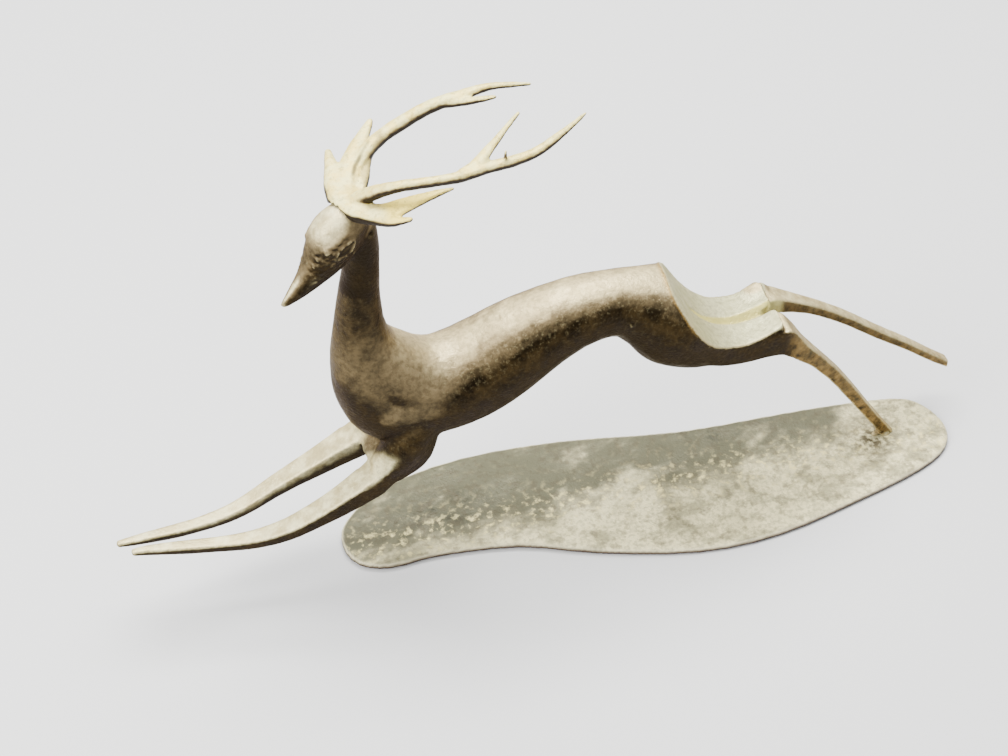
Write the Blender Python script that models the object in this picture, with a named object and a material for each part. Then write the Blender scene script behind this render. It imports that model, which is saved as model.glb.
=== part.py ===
# A leaping deer in bronze, fixed by one hind hoof to a thin free-form plate.
# Metres, +Z up, the head toward -X and the far flank toward +Y.
# The origin is in the middle of the plate's underside.
import math

import bmesh
import bpy
from mathutils import Vector

# Driving sizes
FIGURE_LENGTH = 0.230
PLATE_LENGTH = 0.169
PLATE_THICKNESS = 0.002
PLATE_EDGE = 0.0007
JOINT_GAP = 0.0003

# The figure is drawn on a grid of FIGURE_LENGTH / 230, so a grid unit is about a millimetre.
# Grid x runs back from the standing hoof, y out from the spine, z up from the plate's top.
GRID = FIGURE_LENGTH / 230
HOOF_X = 0.4012 * PLATE_LENGTH
PLATE_TOP = PLATE_THICKNESS

# Stations of the body: x, y, z, half height, half width
TORSO = [
    (-52.0, 0, 52.7, 10.0, 10.0),
    (-58.0, 0, 55.9, 12.4, 11.4),
    (-65.5, 0, 61.8, 13.3, 12.4),
    (-73.2, 0, 66.9, 10.2, 10.0),
    (-80.3, 0, 70.0, 8.6, 8.2),
    (-89.2, 0, 70.1, 9.0, 8.7),
    (-97.4, 0, 67.9, 10.1, 9.6),
    (-105.2, 0, 64.4, 11.4, 10.7),
    (-112.4, 0, 60.4, 12.2, 11.4),
    (-118.8, 0, 57.8, 12.8, 11.5),
    (-125.8, 0, 56.5, 12.9, 11.4),
    (-133.1, 0, 56.0, 12.4, 11.1),
    (-138.5, 0, 56.0, 11.4, 10.6),
]
WITHERS = [
    (-144.6, 0, 80.0, 6.6, 6.5),
    (-143.2, 0, 74.5, 7.9, 7.7),
    (-139.6, 0, 68.4, 9.2, 9.0),
    (-133.5, 0, 61.9, 10.3, 10.3),
    (-126.0, 0, 57.8, 11.6, 11.2),
    (-119.0, 0, 57.6, 12.0, 11.3),
]
NECK = [
    (-140.5, 0, 56.0, 9.6, 9.6),
    (-142.4, 0, 62.0, 9.6, 9.3),
    (-143.4, 0, 68.5, 9.1, 8.8),
    (-144.1, 0, 74.0, 8.2, 7.9),
    (-144.6, 0, 80.0, 6.9, 6.7),
    (-144.7, 0, 85.0, 6.0, 5.8),
    (-144.3, 0, 93.3, 5.1, 4.9),
    (-143.5, 0, 100.5, 4.5, 4.3),
    (-142.9, 0, 108.0, 4.15, 4.0),
    (-143.2, 0, 114.0, 4.0, 3.9),
]

# The head is drawn along its own axis: distance back from the nose, rise, half height, half width
HEAD_TURN = math.radians(20)
HEAD_NOD = math.radians(33)
HEAD_SEAT = (-143.6, 0, 116.1)
HEAD_SEAT_BACK = 25.9
HEAD = [
    (0.6, 0.0, 1.0, 0.9),
    (4.3, -0.4, 2.1, 1.8),
    (8.6, -0.5, 3.2, 2.75),
    (14.2, 0.3, 5.1, 4.4),
    (18.9, 1.8, 6.2, 5.5),
    (22.7, 2.7, 6.0, 5.3),
    (25.4, 2.6, 5.0, 4.5),
]

# Both fore legs share one side profile: x, spread, z, half thickness
FORE_LEG = [
    (-132.2, 4.8, 47.4, 4.7),
    (-134.7, 5.5, 42.6, 5.3),
    (-138.8, 6.3, 38.7, 5.0),
    (-144.0, 6.9, 35.2, 4.3),
    (-150.0, 7.3, 32.2, 3.6),
    (-156.0, 7.6, 29.4, 3.15),
    (-162.0, 7.6, 26.7, 2.9),
    (-168.0, 7.2, 24.1, 2.65),
    (-174.0, 6.1, 22.1, 2.35),
    (-180.0, 4.9, 21.2, 2.05),
    (-186.0, 3.9, 21.3, 1.85),
    (-192.0, 3.1, 22.0, 1.75),
    (-198.0, 2.5, 22.9, 1.6),
    (-204.0, 2.0, 23.7, 1.3),
    (-206.5, 1.9, 24.1, 1.05),
]
FAR_FORE_REACH = 3.0

# Swell of a shoulder, where a fore leg leaves the chest: x, spread, z, half thickness
SHOULDER = [
    (-133.2, 5.6, 52.5, 5.6),
    (-135.8, 6.8, 47.2, 5.7),
    (-138.6, 7.2, 43.2, 5.2),
    (-141.6, 7.2, 39.6, 4.5),
]

# Filling between the roots of the fore legs: x, y, z, half height, half width
FORE_WEB = [
    (-133.5, 0, 46.5, 4.4, 6.0),
    (-137.0, 0, 42.6, 4.2, 5.6),
    (-140.5, 0, 39.6, 3.6, 5.0),
    (-144.0, 0, 38.0, 2.2, 4.4),
]

# Thighs and hind legs: x, y, z, half height, half width
NEAR_THIGH = [
    (-57.0, -4.6, 53.4, 5.5, 5.0),
    (-52.0, -5.0, 51.6, 5.8, 4.9),
    (-46.0, -5.0, 50.4, 5.6, 4.7),
    (-41.0, -5.0, 50.4, 5.8, 4.4),
    (-36.5, -5.3, 50.6, 6.0, 4.2),
]
FAR_THIGH = [
    (-57.0, 4.6, 53.4, 5.5, 5.0),
    (-52.0, 5.0, 51.4, 5.6, 4.9),
    (-46.0, 5.0, 50.0, 5.6, 4.7),
    (-41.0, 5.0, 50.5, 5.9, 4.4),
    (-36.4, 5.4, 51.2, 6.0, 4.3),
]
WEB = [
    (-52.0, 0, 48.6, 4.0, 4.4),
    (-46.0, 0, 48.2, 3.6, 4.0),
    (-42.0, 0, 48.6, 3.4, 3.6),
    (-39.0, 0, 49.2, 3.2, 3.4),
]
NEAR_HIND_LEG = [
    (-43.0, -5.0, 49.4, 3.0, 3.0),
    (-39.5, -5.2, 49.4, 3.6, 3.3),
    (-36.5, -5.5, 48.6, 3.7, 3.3),
    (-33.5, -6.0, 46.9, 3.2, 2.9),
    (-30.0, -6.7, 43.8, 2.8, 2.5),
    (-25.4, -6.9, 38.4, 2.25, 2.1),
    (-19.3, -6.6, 30.3, 2.1, 2.0),
    (-13.1, -6.2, 20.8, 2.05, 1.95),
    (-6.2, -5.8, 9.8, 1.8, 1.75),
    (0.4, -5.5, 0.0, 1.65, 1.6),
    (2.9, -5.4, -4.0, 1.65, 1.6),
]
FAR_HIND_LEG = [
    (-43.0, 5.0, 50.2, 3.0, 3.0),
    (-39.5, 5.2, 51.0, 3.4, 3.2),
    (-36.5, 5.4, 51.2, 3.4, 3.2),
    (-33.0, 5.8, 50.3, 3.0, 2.8),
    (-28.1, 6.2, 48.0, 2.5, 2.35),
    (-20.2, 6.0, 43.6, 2.1, 2.0),
    (-11.0, 5.4, 37.1, 2.0, 1.9),
    (-1.9, 4.7, 29.7, 1.95, 1.85),
    (7.4, 4.1, 22.7, 1.85, 1.75),
    (16.0, 3.6, 15.6, 1.65, 1.6),
    (21.4, 3.5, 11.3, 1.4, 1.4),
]

# Side profile of the scoop in the rump, on the spine: x, z
SCOOP = [
    (-71.5, 92.0),
    (-67.4, 78.5),
    (-66.3, 73.5),
    (-63.8, 68.5),
    (-60.5, 62.6),
    (-56.0, 57.0),
    (-51.0, 53.9),
    (-46.0, 53.0),
    (-41.0, 53.8),
    (-37.0, 55.3),
    (-34.5, 56.4),
]
SCOOP_TOP = 100.0
SCOOP_REACH = 20.0
SCOOP_LEAN_X = 0.10
SCOOP_LEAN_Z = -0.07

# Groove between the thighs: x, z of its floor, y of its near and far lip
GROOVE = [
    (-63.0, 68.5, -2.2, 3.0),
    (-60.0, 61.4, -2.2, 3.0),
    (-57.0, 56.9, -2.2, 3.2),
    (-52.0, 52.5, -2.2, 3.6),
    (-46.0, 50.8, -2.2, 3.6),
    (-41.0, 51.2, -2.2, 3.6),
    (-36.0, 53.0, -2.2, 3.6),
]
GROOVE_FLOOR = -0.3
GROOVE_DEPTH = 4.0

# Antlers, drawn on the figure's grid: x, y, z, half thickness, half width
CROWN = [
    (-145.3, 16.5, 123.1, 0.8, 0.9),
    (-145.8, 13.0, 123.2, 1.1, 1.4),
    (-145.9, 10.0, 122.7, 1.5, 2.2),
    (-146.0, 5.5, 121.9, 2.0, 3.4),
    (-145.3, 1.0, 121.6, 2.3, 4.2),
    (-143.6, -3.0, 121.9, 2.1, 3.8),
    (-141.0, -7.0, 122.5, 1.5, 2.4),
    (-138.2, -10.3, 123.0, 1.0, 1.3),
    (-134.4, -12.5, 124.6, 0.6, 0.7),
]
FAR_TINE = [
    (-144.5, 5.0, 122.2, 1.8, 2.8),
    (-142.4, 9.5, 122.9, 1.6, 2.6),
    (-139.4, 14.0, 124.1, 1.3, 2.2),
    (-135.6, 19.0, 124.9, 1.0, 1.3),
    (-134.0, 20.9, 125.6, 0.8, 0.8),
]
FAR_BEAM = [
    (-143.0, 6.0, 122.3, 1.8, 2.2),
    (-140.3, 10.0, 122.9, 1.7, 2.0),
    (-136.3, 13.0, 125.0, 1.7, 1.8),
    (-132.2, 15.0, 126.1, 1.6, 1.7),
    (-127.6, 16.0, 127.6, 1.6, 1.7),
    (-120.7, 16.5, 130.0, 1.5, 1.6),
    (-114.6, 16.0, 131.5, 1.3, 1.5),
    (-107.0, 16.0, 132.5, 0.9, 1.0),
    (-97.5, 15.0, 131.6, 0.5, 0.5),
]
FAR_FORK = [
    (-118.0, 15.8, 130.6, 1.1, 1.1),
    (-112.4, 13.5, 131.7, 0.9, 1.0),
    (-107.2, 11.0, 133.5, 0.5, 0.55),
]
NEAR_TINE = [
    (-142.6, -4.6, 122.2, 1.6, 2.6),
    (-139.8, -6.8, 123.2, 1.2, 2.8),
    (-136.9, -7.8, 124.2, 0.95, 2.7),
    (-133.8, -7.6, 124.6, 0.85, 2.3),
    (-130.6, -7.2, 124.9, 0.8, 1.8),
    (-126.0, -7.0, 125.4, 0.6, 0.95),
    (-122.8, -7.1, 125.8, 0.4, 0.45),
]
NEAR_BEAM = [
    (-143.5, -1.0, 123.0, 1.8, 2.2),
    (-140.5, -3.2, 126.0, 1.6, 1.9),
    (-135.6, -6.5, 129.4, 1.3, 1.4),
    (-126.9, -8.0, 129.9, 1.2, 1.25),
    (-121.6, -8.0, 129.6, 1.3, 1.35),
    (-115.5, -7.0, 129.6, 1.3, 1.5),
    (-108.4, -6.5, 129.4, 1.2, 1.35),
    (-102.2, -5.5, 130.0, 1.1, 1.2),
    (-96.0, -4.5, 133.0, 0.8, 0.9),
    (-90.8, -3.5, 136.0, 0.4, 0.4),
]
NEAR_FORK = [
    (-121.0, -7.4, 129.8, 1.2, 1.2),
    (-117.6, -6.2, 130.2, 1.0, 1.5),
    (-114.4, -4.4, 131.6, 0.8, 1.4),
    (-111.6, -2.9, 133.1, 0.7, 1.0),
    (-108.4, -1.1, 134.9, 0.6, 0.75),
    (-105.2, 0.5, 136.7, 0.5, 0.5),
]
NEAR_SPUR = [
    (-110.9, -7.0, 129.8, 0.6, 0.6),
    (-110.7, -6.8, 131.8, 0.5, 0.5),
    (-110.5, -6.6, 132.9, 0.4, 0.4),
]
# A thin flange up the back of the far beam
FLANGE = [
    (-141.6, 2.4, 122.2, 1.2, 1.2),
    (-139.7, 6.4, 122.4, 1.2, 1.3),
    (-138.3, 10.0, 122.8, 1.1, 1.2),
    (-136.0, 13.8, 124.2, 1.0, 1.0),
]

# Plate outline, anticlockwise from above, as shares of the plate's length
PLATE_OUTLINE = [
    (0.500, -0.052),
    (0.485, 0.000),
    (0.440, 0.031),
    (0.288, 0.054),
    (0.085, 0.073),
    (-0.108, 0.115),
    (-0.273, 0.131),
    (-0.404, 0.113),
    (-0.483, 0.064),
    (-0.501, 0.018),
    (-0.486, -0.024),
    (-0.440, -0.045),
    (-0.363, -0.046),
    (-0.239, -0.069),
    (-0.125, -0.120),
    (0.022, -0.167),
    (0.154, -0.175),
    (0.302, -0.151),
    (0.420, -0.124),
    (0.480, -0.094),
]

# How the lofts are rounded: corners of a section grow squarer as its power rises
BODY_SIDES = 32
LIMB_SIDES = 28
FORE_LEG_SIDES = 20
ANTLER_SIDES = 16
DOME_STEPS = 4
ROUND_POWER = 2.0
HEAD_POWER = 2.15
ANTLER_POWER = 2.3
FORE_LEG_POWER = 2.5
HIND_LEG_POWER = 3.6

# How the lofts are fused: voxel in grid units, smoothing rounds, share of triangles kept
DEER_VOXEL = 0.6
DEER_ROUNDS = 8
DEER_KEEP = 0.054
ANTLER_VOXEL = 0.3
ANTLER_ROUNDS = 3
ANTLER_KEEP = 0.035

SOLE_BLOCK = 30.0
SEAT_SLACK = 0.0001


def clear_scene():
    for item in list(bpy.data.objects):
        bpy.data.objects.remove(item, do_unlink=True)


def grid(x, y, z):
    return Vector((HOOF_X + x * GRID, y * GRID, PLATE_TOP + z * GRID))


def smooth_rows(rows, steps, closed=False):
    # Catmull-Rom through every column of the rows
    count = len(rows)
    result = []
    spans = count if closed else count - 1
    for i in range(spans):
        if closed:
            quad = [rows[(i + k - 1) % count] for k in range(4)]
        else:
            quad = [rows[min(max(i + k - 1, 0), count - 1)] for k in range(4)]
        for step in range(steps):
            t = step / steps
            row = []
            for a, b, c, d in zip(*quad):
                value = 2 * b + (c - a) * t
                value += (2 * a - 5 * b + 4 * c - d) * t * t
                value += (3 * b - a - 3 * c + d) * t ** 3
                row.append(value / 2)
            result.append(row)
    if not closed:
        result.append(list(rows[-1]))
    return result


def rounded(value, power):
    return math.copysign(abs(value) ** (2 / power), value)


def add_ring(mesh, centre, side, rise, width, height, power, sides):
    ring = []
    for i in range(sides):
        angle = 2 * math.pi * i / sides
        across = side * (width * rounded(math.cos(angle), power))
        upward = rise * (height * rounded(math.sin(angle), power))
        ring.append(mesh.verts.new(centre + across + upward))
    return ring


def add_loft(mesh, stations, lateral, power, sides, steps=4, domes=(True, True)):
    # A closed tube through stations of centre, half height and half width
    rows = [(Vector(row[:3]), row[3], row[4]) for row in smooth_rows(stations, steps)]
    last = len(rows) - 1
    frames = []
    for i, (centre, height, width) in enumerate(rows):
        along = (rows[min(i + 1, last)][0] - rows[max(i - 1, 0)][0]).normalized()
        side = (lateral - along * lateral.dot(along)).normalized()
        frames.append((centre, along, side, along.cross(side), height, width))
    path = []
    if domes[0]:
        centre, along, side, rise, height, width = frames[0]
        for k in range(1, DOME_STEPS):
            swing = math.pi / 2 * k / DOME_STEPS
            reach = min(height, width) * math.cos(swing)
            scale = math.sin(swing)
            path.append((centre - along * reach, side, rise, height * scale, width * scale))
    for centre, along, side, rise, height, width in frames:
        path.append((centre, side, rise, height, width))
    if domes[1]:
        centre, along, side, rise, height, width = frames[-1]
        for k in range(1, DOME_STEPS):
            swing = math.pi / 2 * k / DOME_STEPS
            reach = min(height, width) * math.sin(swing)
            scale = math.cos(swing)
            path.append((centre + along * reach, side, rise, height * scale, width * scale))
    rings = []
    for centre, side, rise, height, width in path:
        rings.append(add_ring(mesh, centre, side, rise, width, height, power, sides))
    for low, high in zip(rings, rings[1:]):
        for i in range(sides):
            j = (i + 1) % sides
            mesh.faces.new((low[i], low[j], high[j], high[i]))
    mesh.faces.new(list(reversed(rings[0])))
    mesh.faces.new(rings[-1])


def on_grid(stations):
    placed = []
    for x, y, z, height, width in stations:
        placed.append((*grid(x, y, z), height * GRID, width * GRID))
    return placed


def head_stations(growth=0.0):
    forward = Vector((
        -math.cos(HEAD_NOD) * math.cos(HEAD_TURN),
        -math.cos(HEAD_NOD) * math.sin(HEAD_TURN),
        -math.sin(HEAD_NOD),
    ))
    side = Vector((math.sin(HEAD_TURN), -math.cos(HEAD_TURN), 0))
    rise = side.cross(forward)
    if rise.z < 0:
        rise = -rise
    seat = grid(*HEAD_SEAT)
    placed = []
    for back, lift, height, width in HEAD:
        centre = seat + forward * ((HEAD_SEAT_BACK - back) * GRID) + rise * (lift * GRID)
        placed.append((*centre, height * GRID + growth, width * GRID + growth))
    return placed, side


def new_object(name, mesh):
    bmesh.ops.recalc_face_normals(mesh, faces=mesh.faces)
    data = bpy.data.meshes.new(name)
    mesh.to_mesh(data)
    mesh.free()
    item = bpy.data.objects.new(name, data)
    bpy.context.scene.collection.objects.link(item)
    return item


def as_cutter(item):
    item.hide_render = True
    item.display_type = 'WIRE'
    return item


def paint(item, name, colour, metallic, roughness):
    material = bpy.data.materials.new(name)
    material.use_nodes = True
    shader = material.node_tree.nodes["Principled BSDF"]
    shader.inputs["Base Color"].default_value = (*colour, 1)
    shader.inputs["Metallic"].default_value = metallic
    shader.inputs["Roughness"].default_value = roughness
    item.data.materials.append(material)


def fuse(item, voxel, rounds, ratio):
    # Blend overlapping lofts into one skin, then thin out its triangles
    remesh = item.modifiers.new("Fuse", 'REMESH')
    remesh.mode = 'VOXEL'
    remesh.voxel_size = voxel
    blend = item.modifiers.new("Blend", 'SMOOTH')
    blend.factor = 0.5
    blend.iterations = int(rounds)
    thin = item.modifiers.new("Thin", 'DECIMATE')
    thin.ratio = ratio


def subtract(item, cutter):
    cut = item.modifiers.new("Cut " + cutter.name, 'BOOLEAN')
    cut.operation = 'DIFFERENCE'
    cut.solver = 'EXACT'
    cut.object = cutter


def build_deer():
    mesh = bmesh.new()
    lateral = Vector((0, 1, 0))
    for stations in (TORSO, WITHERS, NECK, FORE_WEB):
        add_loft(mesh, on_grid(stations), lateral, ROUND_POWER, BODY_SIDES)
    head, head_side = head_stations()
    add_loft(mesh, head, head_side, HEAD_POWER, LIMB_SIDES)
    for flank, reach in ((-1, 0.0), (1, FAR_FORE_REACH)):
        stations = []
        for i, (x, spread, z, half) in enumerate(FORE_LEG):
            share = i / (len(FORE_LEG) - 1)
            stations.append((x - reach * share ** 2, flank * spread, z, half, half))
        add_loft(mesh, on_grid(stations), lateral, FORE_LEG_POWER, FORE_LEG_SIDES)
        swell = [(x, flank * spread, z, half, half) for x, spread, z, half in SHOULDER]
        add_loft(mesh, on_grid(swell), lateral, ROUND_POWER, LIMB_SIDES)
    for stations in (NEAR_THIGH, FAR_THIGH, WEB, NEAR_HIND_LEG, FAR_HIND_LEG):
        placed = on_grid(stations)
        add_loft(mesh, placed, lateral, HIND_LEG_POWER, LIMB_SIDES, domes=(True, False))
    deer = new_object("deer", mesh)
    fuse(deer, DEER_VOXEL * GRID, DEER_ROUNDS, DEER_KEEP)
    subtract(deer, build_scoop())
    subtract(deer, build_groove())
    subtract(deer, build_sole())
    paint(deer, "dark bronze", (0.10, 0.075, 0.05), 0.75, 0.45)
    return deer


def build_scoop():
    mesh = bmesh.new()
    walls = []
    for y in (-SCOOP_REACH, SCOOP_REACH):
        profile = [(x + SCOOP_LEAN_X * y, z + SCOOP_LEAN_Z * y) for x, z in smooth_rows(SCOOP, 3)]
        profile.append((profile[-1][0], SCOOP_TOP))
        profile.append((profile[0][0], SCOOP_TOP))
        walls.append([mesh.verts.new(grid(x, y, z)) for x, z in profile])
    near, far = walls
    count = len(near)
    for i in range(count):
        j = (i + 1) % count
        mesh.faces.new((near[i], near[j], far[j], far[i]))
    mesh.faces.new(near)
    mesh.faces.new(list(reversed(far)))
    return as_cutter(new_object("scoop_cutter", mesh))


def build_groove():
    mesh = bmesh.new()
    rows = []
    for x, z, near_lip, far_lip in smooth_rows(GROOVE, 3):
        floor = mesh.verts.new(grid(x, GROOVE_FLOOR, z))
        near = mesh.verts.new(grid(x, near_lip, z + GROOVE_DEPTH))
        far = mesh.verts.new(grid(x, far_lip, z + GROOVE_DEPTH))
        rows.append((floor, near, far))
    for low, high in zip(rows, rows[1:]):
        for i in range(3):
            j = (i + 1) % 3
            mesh.faces.new((low[i], low[j], high[j], high[i]))
    mesh.faces.new(rows[0])
    mesh.faces.new(rows[-1])
    return as_cutter(new_object("groove_cutter", mesh))


def build_sole():
    # Everything of the standing leg below its joint with the plate
    mesh = bmesh.new()
    size = SOLE_BLOCK * GRID
    bmesh.ops.create_cube(mesh, size=size)
    drop = PLATE_TOP + JOINT_GAP - size / 2
    hoof_y = NEAR_HIND_LEG[-2][1] * GRID
    bmesh.ops.translate(mesh, verts=mesh.verts, vec=Vector((HOOF_X, hoof_y, drop)))
    return as_cutter(new_object("sole_cutter", mesh))


def build_antlers():
    mesh = bmesh.new()
    upright = Vector((0, 0, 1))
    beams = (CROWN, FAR_TINE, FAR_BEAM, FAR_FORK, FLANGE, NEAR_TINE, NEAR_BEAM, NEAR_FORK)
    for stations in beams:
        flat = [(x, y, z, width, height) for x, y, z, height, width in stations]
        add_loft(mesh, on_grid(flat), upright, ANTLER_POWER, ANTLER_SIDES)
    add_loft(mesh, on_grid(NEAR_SPUR), Vector((1, 0, 0)), ROUND_POWER, ANTLER_SIDES)
    antlers = new_object("antlers", mesh)
    fuse(antlers, ANTLER_VOXEL * GRID, ANTLER_ROUNDS, ANTLER_KEEP)
    seat = bmesh.new()
    stations, side = head_stations(JOINT_GAP + SEAT_SLACK)
    add_loft(seat, stations, side, HEAD_POWER, LIMB_SIDES)
    subtract(antlers, as_cutter(new_object("head_cutter", seat)))
    paint(antlers, "pale bronze", (0.42, 0.36, 0.24), 0.6, 0.45)
    return antlers


def build_plate():
    outline = smooth_rows(PLATE_OUTLINE, 3, closed=True)
    mesh = bmesh.new()
    rim = [mesh.verts.new((x * PLATE_LENGTH, y * PLATE_LENGTH, 0)) for x, y in outline]
    sheet = mesh.faces.new(rim)
    raised = bmesh.ops.extrude_face_region(mesh, geom=[sheet])
    lifted = [part for part in raised["geom"] if isinstance(part, bmesh.types.BMVert)]
    bmesh.ops.translate(mesh, verts=lifted, vec=Vector((0, 0, PLATE_THICKNESS)))
    edges = [edge for edge in mesh.edges if abs(edge.verts[0].co.z - edge.verts[1].co.z) < 1e-9]
    bmesh.ops.bevel(mesh, geom=edges, offset=PLATE_EDGE, segments=2, profile=0.5, affect='EDGES')
    plate = new_object("base_plate", mesh)
    paint(plate, "verdigris bronze", (0.17, 0.17, 0.11), 0.5, 0.55)
    return plate


clear_scene()
build_plate()
build_deer()
build_antlers()
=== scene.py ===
import math

import bpy
import numpy as np
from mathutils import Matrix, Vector


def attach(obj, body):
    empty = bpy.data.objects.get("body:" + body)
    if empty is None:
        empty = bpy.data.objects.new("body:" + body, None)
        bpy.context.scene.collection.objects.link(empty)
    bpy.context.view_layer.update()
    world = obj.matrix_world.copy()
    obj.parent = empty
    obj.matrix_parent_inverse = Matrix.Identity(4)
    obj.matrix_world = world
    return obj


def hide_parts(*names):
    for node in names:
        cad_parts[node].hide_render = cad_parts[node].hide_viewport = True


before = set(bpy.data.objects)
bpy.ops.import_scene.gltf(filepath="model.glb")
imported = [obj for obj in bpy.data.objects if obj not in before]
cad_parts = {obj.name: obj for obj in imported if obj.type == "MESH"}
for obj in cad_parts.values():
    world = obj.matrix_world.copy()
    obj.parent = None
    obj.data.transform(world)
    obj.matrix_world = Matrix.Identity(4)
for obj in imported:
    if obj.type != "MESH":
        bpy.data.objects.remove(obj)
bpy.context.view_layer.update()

mm = 0.001
print("frame loaded")


def selectOnly(*items):
    bpy.ops.object.select_all(action='DESELECT')
    for item in items:
        item.select_set(True)
    bpy.context.view_layer.objects.active = items[0]


def startEditing(item):
    selectOnly(item)
    bpy.ops.object.mode_set(mode='EDIT')
    bpy.ops.mesh.select_all(action='SELECT')


def stopEditing():
    bpy.ops.object.mode_set(mode='OBJECT')


def pickUp(node, name):
    # a copy of a CAD node, its loose triangles merged
    item = bpy.data.objects.new(name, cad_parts[node].data.copy())
    item.data.name = name
    item.data.materials.clear()
    bpy.context.scene.collection.objects.link(item)
    startEditing(item)
    bpy.ops.mesh.remove_doubles(threshold=0.01 * mm)
    stopEditing()
    return item


def useModifier(item, kind, **settings):
    selectOnly(item)
    tool = item.modifiers.new(kind.title(), kind)
    for key, value in settings.items():
        setattr(tool, key, value)
    bpy.ops.object.modifier_apply(modifier=tool.name)


def coat(item, material):
    item.data.materials.append(material)
    selectOnly(item)
    bpy.ops.object.shade_smooth()


def throughRows(rows, steps):
    # a smooth run through rows of numbers
    rows = np.array(rows, float)
    padded = np.vstack([rows[0], rows, rows[-1]])
    out = []
    for a, b, c, d in zip(padded, padded[1:], padded[2:], padded[3:]):
        square = 2 * a - 5 * b + 4 * c - d
        cube = 3 * b - a - 3 * c + d
        for t in np.arange(steps) / steps:
            out.append(0.5 * (2 * b + (c - a) * t + square * t ** 2 + cube * t ** 3))
    out.append(rows[-1])
    return out


def fadeIn(values, low, high):
    # 0 up to low, 1 from high on
    t = np.clip((values - low) / (high - low), 0, 1)
    return t * t * (3 - 2 * t)


def fadeOut(values, low, high):
    # 1 up to low, 0 from high on
    return fadeIn(-values, -high, -low)


def blob(*pairs):
    # 1 in the middle and less all round; each pair is a distance from the middle and a radius
    return np.exp(-sum((away / radius) ** 2 for away, radius in pairs))


def readMesh(item):
    # vertex places and normals in millimetres
    count = len(item.data.vertices)
    places = np.empty(count * 3)
    item.data.vertices.foreach_get("co", places)
    normals = np.empty(count * 3)
    item.data.vertices.foreach_get("normal", normals)
    return places.reshape(-1, 3) / mm, normals.reshape(-1, 3)


def writeMesh(item, places):
    item.data.vertices.foreach_set("co", (places * mm).ravel())
    item.data.update()


def keepMask(item, name, values):
    layer = item.data.attributes.new(name, 'FLOAT', 'POINT')
    layer.data.foreach_set("value", np.clip(values, 0, 1).astype(np.float32))


def edgeBend(item, places, normals, rounds=2):
    # how far each vertex stands out of its neighbours: above 0 on an edge, below 0 in a crease
    count = len(places)
    pairs = np.empty(len(item.data.edges) * 2, np.int64)
    item.data.edges.foreach_get("vertices", pairs)
    one, two = pairs.reshape(-1, 2).T
    step = places[two] - places[one]
    size = np.maximum((step ** 2).sum(1), 1e-6)
    bend = np.zeros(count)
    near = np.zeros(count)
    np.add.at(bend, one, -(step * normals[one]).sum(1) / size)
    np.add.at(bend, two, (step * normals[two]).sum(1) / size)
    np.add.at(near, one, 1)
    np.add.at(near, two, 1)
    bend /= np.maximum(near, 1)
    for _ in range(rounds):
        spread = np.zeros(count)
        np.add.at(spread, one, bend[two])
        np.add.at(spread, two, bend[one])
        bend = 0.4 * bend + 0.6 * spread / np.maximum(near, 1)
    return bend


def nearLine(places, points):
    # distance of each place from a line of points
    best = np.full(len(places), 1e9)
    for a, b in zip(points, points[1:]):
        a = np.array(a, float)
        run = np.array(b, float) - a
        t = np.clip(((places - a) @ run) / max(run @ run, 1e-9), 0, 1)
        best = np.minimum(best, np.linalg.norm(places - a - t[:, None] * run, axis=1))
    return best


def wavyField(places, size, seed, layers=3):
    # soft seeded bumps, from -1 to 1, a size in millimetres apart
    rng = np.random.default_rng(seed)
    field = np.zeros(len(places))
    for layer in range(layers):
        for _ in range(7):
            turn = rng.normal(size=3)
            turn *= 2 * math.pi / (size * rng.uniform(0.7, 1.4)) / np.linalg.norm(turn)
            field += np.sin(places @ turn + rng.uniform(0, 6.28)) / (layer + 1)
        size *= 0.53
    return field / 5


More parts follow.
